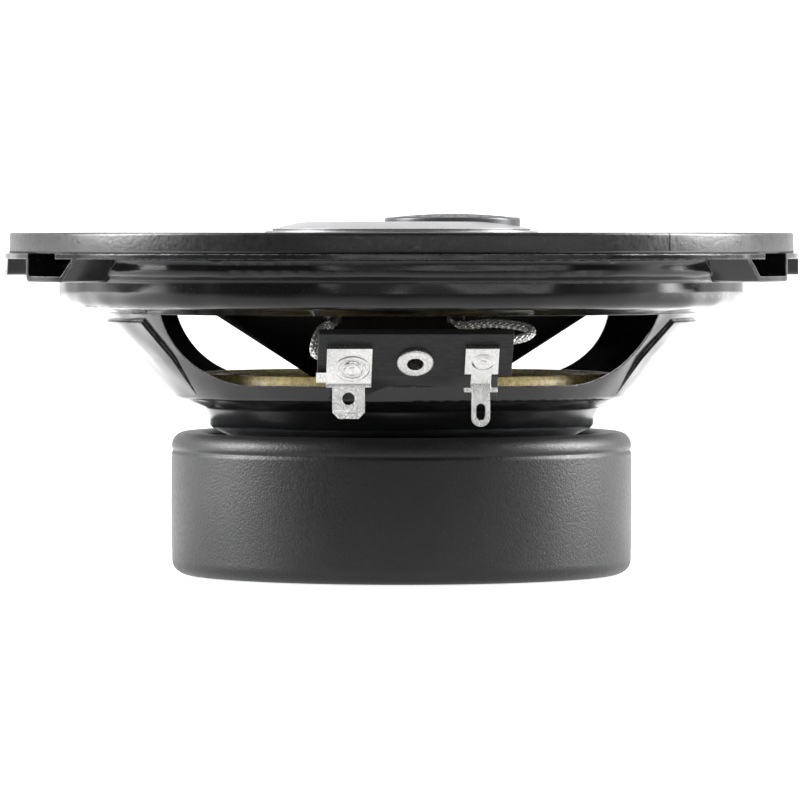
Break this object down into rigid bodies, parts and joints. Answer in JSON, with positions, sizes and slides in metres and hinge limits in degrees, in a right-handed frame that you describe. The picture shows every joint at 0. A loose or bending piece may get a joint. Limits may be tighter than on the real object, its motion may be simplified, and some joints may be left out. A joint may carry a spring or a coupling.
{
  "type": "coaxial car speaker",
  "caption": "Round coaxial car speaker: pressed steel basket with open windows, ear pads on the flange, covered ring magnet, cloth spider, tweeter pod on a post and two tab terminals.",
  "frame": {"origin": "centre of the underside of the motor cover", "axes": "+Z along the speaker's axis towards the listening side, -Y towards the terminals"},
  "size_m": [0.132, 0.132, 0.0598],
  "materials": {
    "painted_steel": "gloss black paint",
    "boot_rubber": "matt moulded",
    "ferrite": "matt",
    "zinc_steel": "zinc plated",
    "gasket_foam": "matt, closed cell",
    "surround_foam": "matt",
    "cone_paper": "coated, matt",
    "spider_cloth": "resin dipped weave",
    "coil_former": "satin",
    "copper_wire": "enamelled",
    "fibre_board": "matt",
    "tinned_brass": "tin plated",
    "braid": "tinned braid",
    "pod_plastic": "satin silver",
    "dome_film": "satin",
    "capacitor_film": "sleeved"
  },
  "bodies": {
    "frame": {"basket": "painted_steel", "front_gasket": "gasket_foam", "surround": "surround_foam", "spider": "spider_cloth", "yoke": "zinc_steel", "magnet": "ferrite", "top_plate": "zinc_steel", "magnet_boot": "boot_rubber", "basket_rivets": "zinc_steel", "pod_post": "zinc_steel", "post_bolt": "zinc_steel", "post_nut": "zinc_steel", "pole_foam_ring": "gasket_foam", "terminal_board": "fibre_board", "board_rivet": "tinned_brass", "terminal_positive": "tinned_brass", "terminal_negative": "tinned_brass", "terminal_rivets": "tinned_brass", "tinsel_lead_positive": "braid", "tinsel_lead_negative": "braid", "pod_lead_positive": "braid", "pod_lead_negative": "braid", "pod_housing": "pod_plastic", "pod_cover": "pod_plastic", "tweeter_housing": "pod_plastic", "tweeter_grille": "pod_plastic", "tweeter_edge": "dome_film", "tweeter_yoke": "zinc_steel", "tweeter_magnet": "ferrite", "tweeter_pole_plate": "zinc_steel", "super_tweeter_housing": "pod_plastic", "super_tweeter_disc": "dome_film", "crossover_capacitor": "capacitor_film"},
    "cone_assembly": {"cone": "cone_paper", "voice_coil_former": "coil_former", "voice_coil_winding": "copper_wire", "cone_eyelets": "tinned_brass"},
    "tweeter_diaphragm": {"tweeter_dome": "dome_film", "tweeter_coil": "copper_wire"}
  },
  "joints": [
    {"name": "cone_travel", "type": "slide", "parent": "frame", "child": "cone_assembly", "axis": [0, 0, 1], "range_m": [-0.004, 0.004], "stiffness_N_per_m": 1250, "deforming": ["surround", "spider", "tinsel_lead_positive", "tinsel_lead_negative", "pod_lead_positive", "pod_lead_negative"]},
    {"name": "tweeter_travel", "type": "slide", "parent": "frame", "child": "tweeter_diaphragm", "axis": [0, 0, 1], "range_m": [-0.0003, 0.0003], "stiffness_N_per_m": 500, "deforming": ["tweeter_edge"]}
  ]
}
